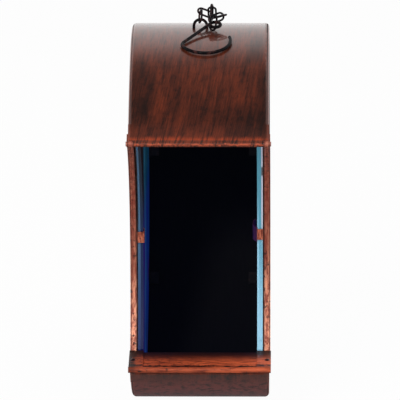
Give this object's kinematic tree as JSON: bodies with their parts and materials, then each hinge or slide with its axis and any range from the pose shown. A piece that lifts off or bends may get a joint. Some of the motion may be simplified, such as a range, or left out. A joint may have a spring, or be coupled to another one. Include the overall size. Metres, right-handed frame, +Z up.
{
  "type": "hanging bird feeder",
  "caption": "Hanging bird feeder: a brushed copper hoop, open at the front over a perch, with blue art-glass sides, and a black chain and hook on its roof.",
  "frame": {"origin": "where the chain bears in the hanging eye on the roof", "axes": "+Z up through the eye, +Y to the closed back of the hoop, +X across the hoop; the mouth faces -Y"},
  "size_m": [0.098, 0.2369, 0.2767],
  "materials": {
    "hoop_copper": "brushed, aged copper",
    "perch_copper": "brushed, aged copper",
    "strip_copper": "brushed copper",
    "bright_copper": "polished copper",
    "clip_copper": "bent copper sheet",
    "art_glass": "streaked opalescent",
    "dark_rivet": "darkened copper",
    "black_wire": "gloss black"
  },
  "bodies": {
    "feeder": {"hoop": "hoop_copper", "hem_wire": "bright_copper", "perch": "perch_copper", "perch_cap_left": "perch_copper", "perch_cap_right": "perch_copper", "side_strip_left": "strip_copper", "side_strip_right": "strip_copper", "glass_left": "art_glass", "glass_right": "art_glass", "front_clip_left": "clip_copper", "front_clip_right": "clip_copper", "inner_tabs_left": "clip_copper", "inner_tabs_right": "clip_copper", "outer_tabs_left": "clip_copper", "outer_tabs_right": "clip_copper", "perch_rivets": "dark_rivet", "hanging_eye": "black_wire", "eye_plate": "hoop_copper"},
    "link_1": {"chain_link_1": "black_wire"},
    "link_2": {"chain_link_2": "black_wire"},
    "link_3": {"chain_link_3": "black_wire"},
    "link_4": {"chain_link_4": "black_wire"},
    "link_5": {"chain_link_5": "black_wire"},
    "link_6": {"chain_link_6": "black_wire"},
    "link_7": {"chain_link_7": "black_wire"},
    "hook": {"hook": "black_wire"}
  },
  "joints": [
    {"name": "link_1_turn", "type": "hinge", "parent": "feeder", "child": "link_1", "pos_m": [0, 0, 0.001], "axis": [-1, 0, 0], "range_deg": [0, 30]},
    {"name": "link_2_turn", "type": "hinge", "parent": "link_1", "child": "link_2", "pos_m": [0, 0.00736, 0.00525], "axis": [-0.342, 0.4698, -0.8138], "range_deg": [0, 20]},
    {"name": "link_3_turn", "type": "hinge", "parent": "link_2", "child": "link_3", "pos_m": [0.00814, 0.00752, 0.00192], "axis": [-0.4983, 0.867, 0], "range_deg": [0, 35]},
    {"name": "link_4_turn", "type": "hinge", "parent": "link_3", "child": "link_4", "pos_m": [0.00791, 0.00237, 0.00905], "axis": [-0.9985, 0.054, 0.0062], "range_deg": [0, 85]},
    {"name": "link_5_turn", "type": "hinge", "parent": "link_4", "child": "link_5", "pos_m": [0.00766, -0.00122, 0.00102], "axis": [-0.4983, 0.867, 0], "range_deg": [0, 50]},
    {"name": "link_6_turn", "type": "hinge", "parent": "link_5", "child": "link_6", "pos_m": [0.01581, -0.00174, 0.00431], "axis": [-0.3409, 0.2949, 0.8926], "range_deg": [0, 75]},
    {"name": "link_7_turn", "type": "hinge", "parent": "link_6", "child": "link_7", "pos_m": [0.00948, -0.00784, 0.0039], "axis": [-0.6547, 0.6995, -0.2866], "range_deg": [0, 30]},
    {"name": "hook_turn", "type": "hinge", "parent": "link_7", "child": "hook", "pos_m": [0.00807, -0.01223, -0.0036], "axis": [-0.751, -0.4306, -0.5007], "range_deg": [0, 35]}
  ]
}
